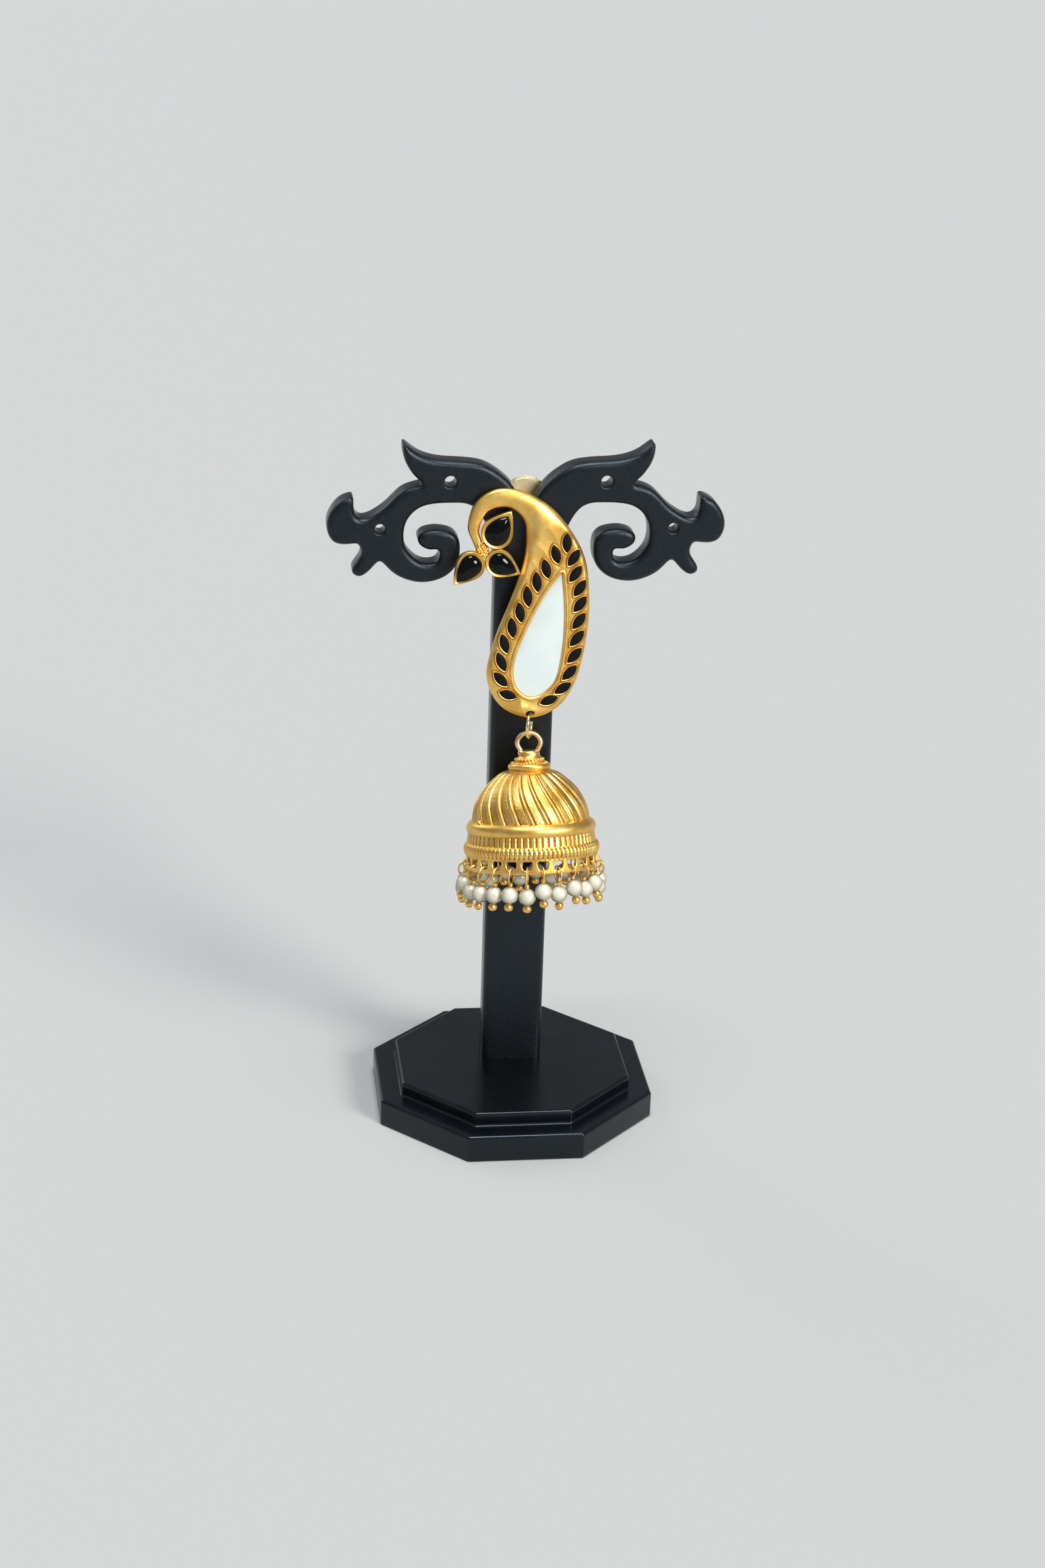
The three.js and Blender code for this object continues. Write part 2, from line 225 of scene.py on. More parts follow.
def softened(loop, rounds):
    """The closed loop with its corners rounded off by averaging each point with its neighbours."""
    for _ in range(rounds):
        loop = loop / 2 + (np.roll(loop, 1, 0) + np.roll(loop, -1, 0)) / 4
    return loop


def circle(middle, radii, count):
    turn = np.arange(count) * TAU / count
    return np.array(middle) + np.stack([radii[0] * np.cos(turn), radii[1] * np.sin(turn)], 1)


def segments(loops):
    return np.concatenate(loops), np.concatenate([np.roll(loop, -1, 0) for loop in loops])


def distance(points, loops):
    a, b = segments(loops)
    along = b - a
    length = (along**2).sum(1) + 1e-12
    found = np.empty(len(points))
    for start in range(0, len(points), 1500):
        p = points[start:start + 1500, None, :] - a
        t = np.clip((p * along).sum(2) / length, 0, 1)
        found[start:start + 1500] = np.sqrt(((p - t[..., None] * along) ** 2).sum(2)).min(1)
    return found


def inside(points, loops):
    a, b = segments(loops)
    found = np.empty(len(points), bool)
    for start in range(0, len(points), 1500):
        x, y = (points[start:start + 1500, None, k] for k in (0, 1))
        crosses = (a[:, 1] > y) != (b[:, 1] > y)
        with np.errstate(divide="ignore", invalid="ignore"):
            at = a[:, 0] + (y - a[:, 1]) * (b[:, 0] - a[:, 0]) / (b[:, 1] - a[:, 1])
        found[start:start + 1500] = (crosses & (x < at)).sum(1) % 2 == 1
    return found


def relief(loops, offsets, spacing, front, back):
    """A closed plate with the loops as its edge. front and back give heights from (points, distance)."""
    sets = list(loops)
    for loop in loops:
        along = np.roll(loop, -1, 0) - np.roll(loop, 1, 0)
        normal = np.stack([-along[:, 1], along[:, 0]], 1) / (np.linalg.norm(along, axis=1)[:, None] + 1e-9)
        for offset in offsets:
            for side in (-1, 1):
                moved = loop + side * offset * normal
                keep = inside(moved, loops) & (distance(moved, loops) > 0.97 * offset)
                sets.append(moved[keep])
    low, high = np.concatenate(loops).min(0), np.concatenate(loops).max(0)
    rows = np.arange(low[1], high[1], spacing * 0.87)
    dots = [(x + (spacing / 2 if i % 2 else 0), y)
            for i, y in enumerate(rows) for x in np.arange(low[0], high[0], spacing)]
    dots = np.array(dots)
    dots = dots[inside(dots, loops)]
    dots = dots[distance(dots, loops) > max(offsets) + spacing * 0.4]
    sets.append(dots)
    edges, start = [], 0
    for loop in loops:
        edges += [(start + i, start + (i + 1) % len(loop)) for i in range(len(loop))]
        start += len(loop)
    flat = [Vector(p) for p in np.concatenate(sets)]
    places, _, triangles, *_ = delaunay_2d_cdt(flat, edges, [], 0, 1e-5)
    places = np.array([tuple(p) for p in places])
    triangles = np.array(triangles)
    corners = places[triangles]
    ahead, aside = corners[:, 1] - corners[:, 0], corners[:, 2] - corners[:, 0]
    area = ahead[:, 0] * aside[:, 1] - ahead[:, 1] * aside[:, 0]
    triangles = triangles[inside(corners.mean(1), loops) & (abs(area) > 1e-9)]
    used, triangles = np.unique(triangles, return_inverse=True)
    places, triangles = places[used], triangles.reshape(-1, 3)
    depth = distance(places, loops)
    depth[depth < 1e-4] = 0
    n = len(places)
    points = np.concatenate([
        np.column_stack([places, front(places, depth)]),
        np.column_stack([places, back(places, depth)]),
    ])
    faces = triangles.tolist() + (triangles[:, ::-1] + n).tolist()
    directed = {(t[i], t[(i + 1) % 3]) for t in triangles.tolist() for i in range(3)}
    faces += [[a, a + n, b + n, b] for a, b in sorted(directed) if (b, a) not in directed]
    return points, faces, places


def blown_up(loops, cell=0.3, rounds=2500, shoulder=3.0):
    """Height of a skin blown up inside the loops, from points and depths; its edge is round all along."""
    low = np.concatenate(loops).min(0) - 2 * cell
    high = np.concatenate(loops).max(0) + 2 * cell
    xs, ys = (np.arange(low[k], high[k] + cell, cell) for k in (0, 1))
    spots = np.stack(np.meshgrid(xs, ys), -1).reshape(-1, 2)
    depth = np.where(inside(spots, loops), distance(spots, loops), 0).reshape(len(ys), len(xs))
    held = depth < 0.6
    swell = depth * (2 * shoulder - depth)
    swell = np.clip(swell, 0, shoulder**2)
    for _ in range(rounds):
        inner = (swell[1:-1, :-2] + swell[1:-1, 2:] + swell[:-2, 1:-1] + swell[2:, 1:-1] + 2 * cell**2) / 4
        swell[1:-1, 1:-1] = np.where(held[1:-1, 1:-1], swell[1:-1, 1:-1], inner)

    def height(points, depth):
        at = (points - low) / cell
        whole = np.clip(at.astype(int), 0, [len(xs) - 2, len(ys) - 2])
        fx, fy = (at - whole).T
        i, j = whole.T
        smooth = ((1 - fx) * (1 - fy) * swell[j, i] + fx * (1 - fy) * swell[j, i + 1]
                  + (1 - fx) * fy * swell[j + 1, i] + fx * fy * swell[j + 1, i + 1])
        edge = depth * (2 * shoulder - depth)
        share = smoothstep(depth, 0.3, 0.9)
        return np.sqrt(np.clip(edge + (smooth - edge) * share, 0, None))

    return height


def rounding(depth, radius):
    """How far an edge rounded with this radius lies below its face, at a distance in from the edge."""
    inward = np.clip(radius - depth, 0, radius)
    return radius - np.sqrt(radius**2 - inward**2)


def setting(outer, inner, section):
    """A closed ring between two matching loops. section is [share of the way in, height] pairs."""
    rows = [np.column_stack([outer + (inner - outer) * share, np.full(len(outer), height)])
            for share, height in section]
    grid = np.array(rows)
    return grid.reshape(-1, 3), grid_faces(len(rows), len(outer), closed_rows=True)


def domed(loop, low, high, power=0.5, rows=8):
    """A stone: a loop filled with a dome from low at its edge to high at its middle."""
    middle = loop.mean(0)
    grid = [np.column_stack([loop, np.full(len(loop), low - 0.6)])]
    for i in range(rows):
        share = 1 - (i / rows) ** 1.5
        height = low + (high - low) * (1 - share**2) ** power
        grid.append(np.column_stack([middle + (loop - middle) * share, np.full(len(loop), height)]))
    points, faces = capped(np.array(grid))
    points[-1, 2] = high
    return points, faces


def smoothstep(value, low, high):
    t = np.clip((value - low) / (high - low), 0, 1)
    return t * t * (3 - 2 * t)


# ---- Materials ----
class Shader:
    """A Principled material, with a short call for each kind of node that feeds it."""

    def __init__(self, name, **sockets):
        self.material = bpy.data.materials.new(name)
        self.material.use_nodes = True
        self.nodes = self.material.node_tree.nodes
        self.links = self.material.node_tree.links
        self.surface = self.nodes["Principled BSDF"]
        for socket, value in sockets.items():
            self.surface.inputs[socket.replace("_", " ")].default_value = value
        self.coordinates = self.nodes.new("ShaderNodeTexCoord").outputs["Object"]

    def feed(self, target, source):
        if isinstance(source, bpy.types.NodeSocket):
            self.links.new(source, target)
        else:
            target.default_value = source

    def noise(self, scale, detail=3, roughness=0.5):
        node = self.nodes.new("ShaderNodeTexNoise")
        node.inputs["Scale"].default_value = scale
        node.inputs["Detail"].default_value = detail
        node.inputs["Roughness"].default_value = roughness
        self.links.new(self.coordinates, node.inputs["Vector"])
        return node.outputs["Fac"]

    def attribute(self, name):
        node = self.nodes.new("ShaderNodeAttribute")
        node.attribute_name = name
        return node.outputs["Fac"]

    def wear(self):
        return self.attribute("wear")

    def ramp(self, source, stops):
        node = self.nodes.new("ShaderNodeValToRGB")
        elements = node.color_ramp.elements
        while len(elements) < len(stops):
            elements.new(0.5)
        for element, (place, color) in zip(elements, stops):
            element.position = place
            element.color = (*color, 1)
        self.feed(node.inputs["Fac"], source)
        return node.outputs["Color"]

    def span(self, source, low, high, start=0.0, end=1.0):
        node = self.nodes.new("ShaderNodeMapRange")
        for name, value in (("From Min", start), ("From Max", end), ("To Min", low), ("To Max", high)):
            self.feed(node.inputs[name], value)
        self.feed(node.inputs["Value"], source)
        return node.outputs["Result"]

    def mix(self, share, first, second, blend="MIX"):
        node = self.nodes.new("ShaderNodeMix")
        node.data_type = "RGBA"
        node.blend_type = blend
        self.feed(node.inputs["Factor"], share)
        self.feed(node.inputs["A"], (*first, 1) if isinstance(first, tuple) else first)
        self.feed(node.inputs["B"], (*second, 1) if isinstance(second, tuple) else second)
        for socket in node.outputs:
            if socket.type == "RGBA":
                return socket

    def sum(self, first, second, operation="ADD"):
        node = self.nodes.new("ShaderNodeMath")
        node.operation = operation
        self.feed(node.inputs[0], first)
        self.feed(node.inputs[1], second)
        return node.outputs[0]

    def bump(self, height, depth, strength=1.0):
        """Bump whose full height is depth millimetres."""
        node = self.nodes.new("ShaderNodeBump")
        node.inputs["Distance"].default_value = depth * MM
        self.feed(node.inputs["Strength"], strength)
        self.feed(node.inputs["Height"], height)
        self.links.new(node.outputs["Normal"], self.surface.inputs["Normal"])

    def set(self, **sockets):
        for socket, source in sockets.items():
            self.links.new(source, self.surface.inputs[socket.replace("_", " ")])


def gold_material(name, dark, middle, light):
    look = Shader(name, Metallic=1.0, Specular_Tint=(1.0, 0.95, 0.82, 1), Coat_Weight=0.35,
                  Coat_Roughness=0.22)
    wear = look.wear()
    tone = look.ramp(look.noise(240, 4), [(0.3, dark), (0.5, middle), (0.75, light)])
    # Painted shade and patina: the colour darkens towards hollows, where wear is low.
    recess_shade = look.ramp(wear, [(0.0, (0.12, 0.055, 0.012)), (0.5, (0.48, 0.3, 0.1)), (0.95, (1, 1, 1))])
    stippled = look.attribute("stipple")
    # Stippled grain: random dark and light specks in the colour, the brightest of them bluish white as
    # painted glints.
    speck_and_glint_stops = [(0.36, (0.5, 0.42, 0.32)), (0.5, (1.0, 1.0, 1.0)), (0.68, (1.15, 1.2, 1.4))]
    speckle_and_glints = look.ramp(look.noise(7500, 3, 0.6), speck_and_glint_stops)
    tone = look.mix(stippled, tone, look.mix(1.0, tone, speckle_and_glints, "MULTIPLY"))
    look.set(Base_Color=look.mix(1.0, tone, recess_shade, "MULTIPLY"))
    haze = look.sum(look.noise(500, 3), look.span(wear, 0.5, 0.0))
    look.set(Roughness=look.span(haze, 0.34, 0.52, 0.3, 1.1))
    look.bump(look.noise(9000, 3, 0.6), 0.024, stippled)
    return look.material


def brass_material(name, dark, light, low, high):
    look = Shader(name, Metallic=1.0)
    cloud = look.noise(420, 3)
    look.set(Base_Color=look.ramp(cloud, [(0.3, dark), (0.7, light)]))
    look.set(Roughness=look.span(cloud, low, high, 0.3, 0.7))
    look.bump(look.noise(1500, 3), 0.006, 0.5)
    return look.material


def plastic_material():
    look = Shader("black_plastic", IOR=1.5, Specular_IOR_Level=0.42, Specular_Tint=(0.78, 0.9, 1.0, 1))
    pebble = look.noise(3600, 4, 0.65)
    wear = look.wear()
    smooth = look.ramp(look.noise(90, 4), [(0.3, (0.001, 0.0018, 0.0027)), (0.7, (0.0022, 0.0036, 0.0054))])
    # Front faces carry the pebble grain: lighter bluish specks in the colour, partly painted sheen on the
    # pebbles.
    grain_and_sheen = look.ramp(pebble, [(0.42, (0.0008, 0.0014, 0.002)), (0.68, (0.008, 0.0125, 0.018))])
    look.set(Base_Color=look.mix(look.span(wear, 0.0, 1.0, 0.35, 1.0), smooth, grain_and_sheen))
    cloud = look.sum(look.noise(160, 2), look.span(wear, 0.0, 0.3))
    look.set(Roughness=look.span(cloud, 0.2, 0.34, 0.3, 1.0))
    look.bump(pebble, 0.07, look.span(wear, 0.04, 0.9, 0.35, 1.0))
    return look.material


def pearl_material():
    look = Shader("cream_pearl", Coat_Weight=0.7, Coat_Roughness=0.22, Specular_IOR_Level=0.9, Coat_IOR=1.4,
                  IOR=1.45, Metallic=0.15, Sheen_Weight=0.06, Sheen_Tint=(0.85, 0.95, 0.95, 1))
    face = look.nodes.new("ShaderNodeLayerWeight")
    face.inputs["Blend"].default_value = 0.6
    creams = [(0.3, (0.66, 0.63, 0.48)), (0.55, (0.73, 0.71, 0.57)), (0.8, (0.69, 0.70, 0.61))]
    middle = look.ramp(look.noise(420, 3), creams)
    # Painted shade: the colour darkens towards each pearl's rim, by the layer weight's facing.
    edge = look.span(face.outputs["Facing"], 0.0, 1.0, 0.12, 0.95)
    look.set(Base_Color=look.mix(edge, middle, (0.19, 0.16, 0.09)))
    skin = look.noise(1300, 3)
    look.set(Roughness=look.span(skin, 0.26, 0.36, 0.3, 0.7))
    look.bump(skin, 0.004, 0.5)
    return look.material


def shell_material():
    look = Shader("shell", Coat_Weight=0.8, Coat_Roughness=0.05, IOR=1.55, Coat_IOR=1.55)
    layers = [(0.3, (0.55, 0.63, 0.64)), (0.5, (0.62, 0.69, 0.68)), (0.8, (0.71, 0.70, 0.59))]
    look.set(Base_Color=look.ramp(look.noise(70, 2, 0.5), layers))
    look.set(Roughness=look.span(look.noise(300, 2), 0.15, 0.3, 0.3, 0.7))
    look.bump(look.noise(180, 2), 0.02, 0.3)
    return look.material


def stone_material(name, low, high, grain, gloss):
    look = Shader(name, IOR=1.5, Specular_IOR_Level=gloss)
    cloud = look.noise(700, 5, 0.6)
    look.set(Base_Color=look.ramp(cloud, [(0.3, (0.0004, 0.0004, 0.0005)), (0.75, (0.003, 0.003, 0.0035))]))
    look.set(Roughness=look.span(cloud, low, high, 0.3, 0.7))
    look.bump(look.noise(2600, 4), grain, 0.5)
    return look.material


GOLD = gold_material("antique_gold", (0.80, 0.455, 0.085), (0.89, 0.55, 0.13), (0.96, 0.67, 0.22))
ROSY_GOLD = gold_material("rosy_gold", (0.80, 0.48, 0.24), (0.88, 0.58, 0.33), (0.95, 0.70, 0.45))
BRASS = brass_material("pale_brass", (0.86, 0.74, 0.42), (0.93, 0.83, 0.54), 0.32, 0.45)
BRIGHT_BRASS = brass_material("bright_brass", (0.88, 0.70, 0.28), (0.95, 0.82, 0.42), 0.1, 0.2)
PLASTIC = plastic_material()
PEARL = pearl_material()
SHELL = shell_material()
GLOSSY_STONE = stone_material("black_cabochon", 0.04, 0.1, 0.004, 0.22)
MATT_STONE = stone_material("black_inlay", 0.38, 0.6, 0.03, 0.16)

# ---- Stand base: two octagonal tiers ----
LOWER_FLAT, LOWER_TOP, UPPER_FLAT, TOP = 33.2, 6.7, 27.9, 10.1
CORNER, EDGE = 0.7, 0.75


def octagon(flat, z, steps=4):
    """A ring of points on an octagon with rounded corners; a flat side faces -Y."""
    corner = min(CORNER, flat / 2)
    ring = []
    for k in range(8):
        middle = (k + 0.5) * 45 * RAD
        reach = (flat - corner) / math.cos(22.5 * RAD)
        for i in range(steps + 1):
            t = middle + (i / steps - 0.5) * 45 * RAD
            ring.append((reach * math.cos(middle) + corner * math.cos(t),
                         reach * math.sin(middle) + corner * math.sin(t), z))
    return ring


def arc(middle, radius, start, end, steps):
    """[flat, z] pairs on a circular arc, in degrees from the outward direction."""
    turns = np.linspace(start, end, steps + 1) * RAD
    return [(middle[0] + radius * math.cos(t), middle[1] + radius * math.sin(t)) for t in turns]


base_profile = (
    [(LOWER_FLAT - 3, 0)]
    + arc((LOWER_FLAT - 0.4, 0.4), 0.4, -90, 0, 3)
    + [(LOWER_FLAT, 1.2), (LOWER_FLAT, LOWER_TOP - EDGE - 0.4)]
    + arc((LOWER_FLAT - EDGE, LOWER_TOP - EDGE), EDGE, 0, 90, 6)
    + [(LOWER_FLAT - EDGE - 0.4, LOWER_TOP), (UPPER_FLAT + 0.9, LOWER_TOP)]
    + arc((UPPER_FLAT + 0.55, LOWER_TOP + 0.55), 0.55, 270, 180, 5)
    + [(UPPER_FLAT, LOWER_TOP + 0.8), (UPPER_FLAT, TOP - EDGE - 0.2)]
    + arc((UPPER_FLAT - EDGE, TOP - EDGE), EDGE, 0, 90, 6)
    + [(UPPER_FLAT - EDGE - 0.4, TOP), (UPPER_FLAT - 6, TOP), (10, TOP)]
)
base = Build()
base.add(*capped(np.array([octagon(flat, z) for flat, z in base_profile])), wear=0.35)
base.piece("stand_base_moulding", "root", "stand_plastic", PLASTIC, ["stand_base"], sharp=60)

# ---- Stand tree ----
TREE_RUNS = [
    [[0, 150.8], [1.7, 153.2], [3.9, 156.4], [6.6, 158.8], [10.2, 160.9], [14.5, 161.6], [20.5, 162],
     [24.8, 163.2], [28.9, 166.2]],
    [[28.9, 166.2], [28.6, 162.5], [26.5, 158.7], [23.9, 156.5]],
    [[23.9, 156.5], [28.7, 155], [33.1, 150.8], [37.6, 148.3], [39.7, 149.9], [39.7, 153.7]],
    [[39.7, 153.7], [43, 152.5], [45.4, 149.2], [45.9, 146], [44.6, 143.1], [42, 142.3], [38.8, 142.7]],
    [[38.8, 142.7], [37.9, 140], [40.3, 136.2], [38.7, 134.7], [36.6, 135.6], [33.8, 138.8]],
    [[33.8, 138.8], [30, 135], [24.5, 133.2], [19, 134.4], [15.7, 138.2], [15.9, 144], [20, 145.8],
     [23.6, 145.4], [25.2, 144.0], [24.6, 142.0], [22.4, 140.9]],
    [[22.4, 140.9], [20.1, 140.9], [20.6, 138.2], [24.4, 138], [28, 141.8], [27.9, 147.4],
     [24.2, 151.2], [17.2, 152], [12.4, 151], [9, 145.5], [7.35, 137]],
]
POST_HALF, TENON_FOOT, PLATE_FRONT, PLATE_BACK = 7.35, 4.4, 0.5, -5.6
half = np.concatenate([outline(TREE_RUNS, 7), [[POST_HALF, 137], [POST_HALF, TENON_FOOT]]])
mirrored = half[1:][::-1] * [-1, 1]
tree_loop = softened(resampled(np.concatenate([half, mirrored]), 0.45), 7)
holes = [circle((side * x, z), (r, r), 28) for x, z, r in ((17.9, 157.1, 1.4), (33.8, 146.1, 1.2))
         for side in (-1, 1)]
tree = Build()
points, faces, _ = relief(
    [tree_loop, *holes], (0.06, 0.2, 0.42, 0.72, 1.1, 1.55), 2.0,
    lambda p, d: PLATE_FRONT - rounding(d, np.where(distance(p, holes) < 1.0, 0.4, 1.45)),
    lambda p, d: PLATE_BACK + rounding(d, 0.4),
)
front_face = points[:, 2] > PLATE_FRONT - 1.5
tree.add(in_tree(points), faces, wear=np.where(front_face, 1.0, 0.3))
tree.piece("stand_tree_moulding", "root", "stand_plastic", PLASTIC, ["stand_tree"], sharp=50)

# ---- Peacock: body ----
EAR_POST = (-0.55, 49.7, 0)
PEACOCK_RUNS = [
    [[-12.5, 38.4], [-13.5, 40.5], [-14.7, 44.3], [-13.1, 49.4], [-8.6, 52.5], [-3, 52.3], [3.1, 49.4],
     [7.8, 44.8], [12.2, 37], [13.5, 27.3], [12.9, 18], [10.7, 8.6], [6.8, 2.4], [0, -0.35],
     [-6.9, 2.6], [-10.1, 9.5], [-8.3, 18.2], [-4.7, 27.4], [-2, 35.5], [-1.35, 42], [-2.2, 46],
     [-5.7, 48.4], [-10.1, 47.4], [-12, 43.5], [-11.5, 41], [-10.9, 39.5]],
    [[-10.9, 39.5], [-12.5, 38.4]],
]
SHELL_RUN = [[7, 33.6], [7.7, 24.4], [7.2, 15.1], [5.4, 8.1], [0.6, 4.7], [-3.3, 7.2], [-3.9, 12.8],
             [-1.1, 20.5], [3.3, 28.9], [7, 33.6]]
# Marquise inlays: middle u, middle v, length, direction in degrees.
INLAYS = [
    (7.9, 40.4, 4.3, 91),
    (5.4, 37.8, 4.2, 106), (3.2, 34.5, 4.35, 105), (1.1, 31.5, 4.5, 97), (-1.0, 28.2, 4.6, 97),
    (-2.7, 24.5, 4.45, 99), (-4.5, 21.0, 4.5, 97), (-6.2, 17.3, 4.4, 106), (-6.9, 13.1, 4.5, 113),
    (-7.0, 9.0, 4.25, 134), (-5.3, 5.4, 3.95, 163),
    (9.5, 37.0, 4.3, 57), (9.95, 33.3, 4.3, 55), (11.0, 30.0, 4.3, 56), (11.1, 26.3, 4.35, 52),
    (10.9, 22.4, 4.4, 53), (10.5, 18.4, 4.5, 50), (10.0, 14.4, 4.4, 47), (8.9, 10.4, 4.4, 46),
    (7.4, 6.8, 4.3, 32), (4.2, 4.0, 4.1, 20),
]
INLAY_WIDTH = 1.9


def marquise(u, v, length, angle, grow=0.0, count=20):
    """Two arcs that meet in points; grow moves both arcs out."""
    a, b = length / 2, INLAY_WIDTH / 2
    radius = (a * a + b * b) / (2 * b)
    middle = radius - b
    radius += grow
    a = math.sqrt(radius**2 - middle**2)
    open_angle = math.asin(a / radius)
    turns = np.linspace(-open_angle, open_angle, count + 1)[:-1]
    one = np.stack([radius * np.sin(turns), middle - radius * np.cos(turns)], 1)
    loop = np.concatenate([one, -one])
    c, s = math.cos(angle * RAD), math.sin(angle * RAD)
    return loop @ np.array([[c, s], [-s, c]]) + (u, v)


def grown(loop, margin):
    along = np.roll(loop, -1, 0) - np.roll(loop, 1, 0)
    along /= np.linalg.norm(along, axis=1)[:, None]
    return loop + margin * np.stack([-along[:, 1], along[:, 0]], 1)


peacock_loop = resampled(outline(PEACOCK_RUNS, 9), 0.3)
shell_loop = resampled(smooth_run(SHELL_RUN, 6), 0.4)
hole_loop = circle((0, 0.76), (1.05, 0.72), 28)
seat_loop = grown(shell_loop, 0.5)
# Heights of the shell's seat and of the field round the inlays, and how softly the field is capped.
SEAT_FLOOR, FIELD, FIELD_SOFTNESS = 0.1, 1.38, 0.22
features = [grown(shell_loop, 0.55), *[marquise(*row, grow=0.36) for row in INLAYS]]


def to_features(points):
    """Distance outside the nearest marquise or shell frame; zero within one."""
    far = distance(points, features)
    for loop in features:
        far[inside(points, [loop])] = 0
    return far


swell = blown_up([peacock_loop])


def peacock_front(points, _):
    outer = distance(points, [peacock_loop])
    dome = 0.05 + 2.35 * np.tanh(swell(points, outer) / 4.0)
    level = 1 - smoothstep(to_features(points), 0.2, 4.2)
    over = dome - FIELD
    height = dome - level * (over + np.sqrt(over**2 + FIELD_SOFTNESS**2)) / 2
    seat = np.where(inside(points, [seat_loop]), distance(points, [seat_loop]), 0)
    height = height + (SEAT_FLOOR - height) * smoothstep(seat, 0, 0.3)
    return height - rounding(distance(points, [hole_loop]), 0.35)


peacock = Build()
points, faces, places = relief(
    [peacock_loop, hole_loop], (0.03, 0.1, 0.21, 0.36), 0.24, peacock_front,
    lambda p, d: -0.5 + rounding(d, 0.25),
)
# Painted shadow: the colour darkens in a thin line just outside each rim and the shell frame, where the rims
# shade the field; the back of the plate is kept a little darker.
near = to_features(places)
rim_shadow = 1 - 0.55 * np.exp(-(((near - 0.1) / 0.2) ** 2))
wear = np.concatenate([rim_shadow, np.full(len(places), 0.9)])
peacock.add(in_peacock(points), faces, wear, stipple=0.42)

# Ear post, soldered on behind the head.
post = [(0.0, -0.5), (1.3, -0.5), (1.25, -0.75), (0.7, -1.0), (0.45, -1.4), (0.45, -11.6), (0.38, -11.75),
        (0.38, -11.95), (0.45, -12.1), (0.42, -12.35), (0.25, -12.5)]
points, faces = revolve([(r + 0.001, z) for r, z in post], 20)
peacock.add(in_peacock(points + EAR_POST), faces)
peacock.piece("peacock_body", "root", "gold", GOLD, ["peacock_top"], sharp=45)

# Raised rims round the marquise inlays, and the inlays.
RIM_SECTION = [(0.0, 0.7), (0.0, 1.4), (0.14, 1.6), (0.4, 1.72), (0.7, 1.7), (0.92, 1.58), (1.0, 0.7)]
rims = Build()
stones = Build()
for row in INLAYS:
    rims.place(in_peacock, setting(marquise(*row, grow=0.4), marquise(*row, grow=0.08), RIM_SECTION))
    stones.place(in_peacock, domed(marquise(*row, grow=0.12), 1.42, 1.56, 0.7, rows=4))

# Frame round the shell: a bevelled strip inside a rounded ridge.
FRAME_SECTION = [(0.0, 0.7), (0.0, 1.44), (0.1, 1.64), (0.28, 1.74), (0.5, 1.74), (0.74, 1.64), (0.92, 1.42),
                 (1.0, 1.2), (1.0, 0.2)]
rims.place(in_peacock, setting(grown(shell_loop, 0.86), grown(shell_loop, -0.05), FRAME_SECTION))
rims.piece("peacock_rims", "root", "gold", GOLD, sharp=55)
stones.piece("marquise_inlays", "root", "black_stone", MATT_STONE, sharp=30)

shell = Build()
points, faces, _ = relief(
    [shell_loop], (0.1, 0.25), 0.9,
    lambda p, d: 1.05 + 0.15 * np.sqrt(np.clip(d / 4, 0, 1)) - rounding(d, 0.12), lambda p, d: 0.25 + 0 * d,
)
shell.add(in_peacock(points), faces)
shell.piece("shell_plate", "root", "shell", SHELL, ["shell_inlay"], sharp=30)

# ---- Peacock: cabochons and grains ----
# Middle u, v; outer radius, reach of the point; stone radius, reach; direction of the point in degrees.
DROPS = [
    (-8.1, 42.6, 3.6, 6.1, 2.8, 4.65, 57),
    (-14.0, 35.3, 3.25, 5.85, 2.5, 4.85, 229),
    (-7.5, 35.8, 3.2, 5.4, 2.45, 4.4, -27),
]


def drop(u, v, radius, reach, angle, power):
    turns = np.linspace(-math.pi, math.pi, 73)[:-1]
    toward = np.clip(1 - abs(turns) / (82 * RAD), 0, 1)
    size = radius + (reach - radius) * toward**power
    turns = turns + angle * RAD
    return np.stack([u + size * np.cos(turns), v + size * np.sin(turns)], 1)


BEZEL_SECTION = [(0.0, -0.4), (0.0, 1.3), (0.08, 1.56), (0.24, 1.68), (0.42, 1.66), (0.6, 1.56), (0.8, 1.5),
                 (0.92, 1.52), (1.0, 1.44), (1.0, 0.2)]
bezels = Build()
cabochons = Build()
for u, v, radius, reach, stone, stone_reach, angle in DROPS:
    outer = drop(u, v, radius, reach, angle, 3.4)
    inner = drop(u, v, stone, stone_reach, angle, 2.3)
    bezels.place(in_peacock, setting(outer, inner, BEZEL_SECTION))
    cabochons.place(in_peacock, domed(inner, 1.4, 2.75, 0.55, rows=14))
    floor, floor_faces = domed(drop(u, v, radius - 0.3, reach - 0.8, angle, 3.4), -0.2, 0.6, 0.5, rows=3)
    # The floor under each stone is painted a little darker, as shade beneath it.
    bezels.add(in_peacock(floor), floor_faces, wear=0.8)

GRAINS = [(-12.6, 40.5), (-11.8, 40.8), (-11.0, 40.4), (-12.4, 39.7), (-11.5, 39.9), (-10.6, 39.6),
          (-12.0, 38.9), (-11.1, 39.1), (-10.3, 38.8), (-11.5, 38.2), (-10.6, 38.2), (-9.9, 38.1),
          (-11.0, 37.4), (-10.2, 37.3), (-11.7, 37.5), (-12.8, 38.9), (-10.7, 36.7), (-12.4, 38.2),
          (-9.9, 39.3)]
CLUSTER, CLUSTER_SHARE = np.array((-11.35, 38.75)), 0.72
chance = random.Random(7)
for place in GRAINS:
    u, v = CLUSTER + (np.array(place) - CLUSTER) * CLUSTER_SHARE
    size = chance.uniform(0.34, 0.44)
    points, faces = ball((u + chance.uniform(-0.06, 0.06), v + chance.uniform(-0.06, 0.06), 1.1), size, 8, 12)
    bezels.add(in_peacock(points), faces)
# The bed under the grains is painted darker, as shade among them.
bezels.place(in_peacock, domed(circle(CLUSTER, (1.5, 1.65), 32), 0.5, 1.15, 0.5, rows=4), wear=0.75)
bezels.piece("peacock_settings", "root", "gold", GOLD, sharp=50)
cabochons.piece("cabochons", "root", "black_stone", GLOSSY_STONE, sharp=70)

